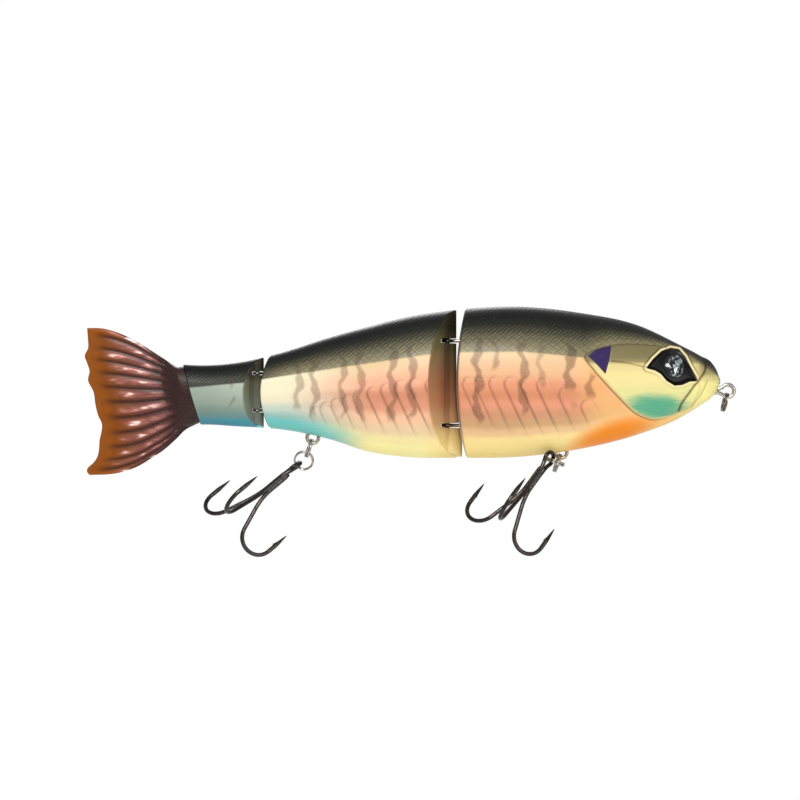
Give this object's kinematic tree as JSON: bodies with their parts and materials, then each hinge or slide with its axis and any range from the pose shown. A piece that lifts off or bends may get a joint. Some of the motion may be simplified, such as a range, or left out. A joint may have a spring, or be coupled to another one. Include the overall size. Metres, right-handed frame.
{
  "type": "jointed swimbait",
  "caption": "Jointed hard-bodied swimbait: hinged painted body sections, soft ribbed tail fin, line tie with split ring and belly treble hooks on split rings.",
  "frame": {"origin": "centre of the wire line tie's loop at the nose", "axes": "+X from tail to nose, +Z from belly to back, +Y to the fish's left side"},
  "size_m": [0.1927, 0.0428, 0.0738],
  "materials": {
    "painted_head": "airbrushed satin-clear ABS: near-black back, cream and salmon flank, yellow belly, orange throat",
    "painted_mid": "airbrushed satin-clear ABS: near-black back, cream and salmon flank, yellow belly fading to cyan",
    "painted_tail": "airbrushed satin-clear ABS: near-black back, pale mint flank, cyan belly",
    "eye": "glossy black dome with silvery flecks",
    "soft_fin": "translucent brown soft plastic with metallic flake, orange rim",
    "hook": "black-nickel plated wire",
    "split_ring": "nickel-plated spring wire",
    "wire": "bright stainless wire",
    "pin_wire": "drawn stainless",
    "ballast": "cast ballast weight"
  },
  "bodies": {
    "head": {"head_shell_left": "painted_head", "head_shell_right": "painted_head", "eye_left": "eye", "eye_right": "eye", "line_tie": "wire", "front_hanger": "wire", "front_hinge_eye_upper": "wire", "front_hinge_eye_lower": "wire", "head_weight": "ballast"},
    "mid": {"mid_shell_left": "painted_mid", "mid_shell_right": "painted_mid", "front_hinge_pin": "pin_wire", "rear_hanger": "wire", "rear_hinge_eye_upper": "wire", "rear_hinge_eye_lower": "wire", "mid_weight": "ballast"},
    "tail": {"tail_shell_left": "painted_tail", "tail_shell_right": "painted_tail", "rear_hinge_pin": "pin_wire", "tail_fin": "soft_fin", "tail_fin_pin": "pin_wire"},
    "nose_ring": {"nose_ring": "split_ring"},
    "front_ring_upper": {"front_ring_upper": "split_ring"},
    "front_ring_lower": {"front_ring_lower": "split_ring"},
    "front_treble": {"front_treble_double": "hook", "front_treble_single": "hook"},
    "rear_ring_upper": {"rear_ring_upper": "split_ring"},
    "rear_ring_lower": {"rear_ring_lower": "split_ring"},
    "rear_treble": {"rear_treble_double": "hook", "rear_treble_single": "hook"}
  },
  "joints": [
    {"name": "front_joint", "type": "hinge", "parent": "head", "child": "mid", "pos_m": [-0.083, 0, 0], "axis": [0, 0, 1], "range_deg": [-33, 33]},
    {"name": "rear_joint", "type": "hinge", "parent": "mid", "child": "tail", "pos_m": [-0.1392, 0, 0], "axis": [0, 0, 1], "range_deg": [-35, 35]},
    {"name": "nose_ring_swing", "type": "hinge", "parent": "head", "child": "nose_ring", "pos_m": [0, 0, 0], "axis": [0, 1, 0], "range_deg": [-165, 20]},
    {"name": "front_ring_upper_swing", "type": "hinge", "parent": "head", "child": "front_ring_upper", "pos_m": [-0.04988, 0, -0.0198], "axis": [-0.9403, 0, 0.3404], "range_deg": [-25, 9]},
    {"name": "front_ring_lower_swing", "type": "hinge", "parent": "front_ring_upper", "child": "front_ring_lower", "pos_m": [-0.05041, -0.00277, -0.02127], "axis": [0.3403, 0.0175, 0.9401], "range_deg": [-10, 55]},
    {"name": "front_treble_swing", "type": "hinge", "parent": "front_ring_lower", "child": "front_treble", "pos_m": [-0.05293, -0.00618, -0.0203], "axis": [0.7365, -0.6265, -0.255], "range_deg": [-25, 50]},
    {"name": "rear_ring_upper_swing", "type": "hinge", "parent": "mid", "child": "rear_ring_upper", "pos_m": [-0.12335, 0, -0.01541], "axis": [-0.9461, 0, 0.3239], "range_deg": [-50, 50]},
    {"name": "rear_ring_lower_swing", "type": "hinge", "parent": "rear_ring_upper", "child": "rear_ring_lower", "pos_m": [-0.12468, 0.00068, -0.01929], "axis": [-0.0947, -0.9563, -0.2766], "range_deg": [-25, 60]},
    {"name": "rear_treble_swing", "type": "hinge", "parent": "rear_ring_lower", "child": "rear_treble", "pos_m": [-0.12768, 0.00179, -0.0221], "axis": [0.5833, 0.1719, -0.7939], "range_deg": [-60, 60]}
  ]
}
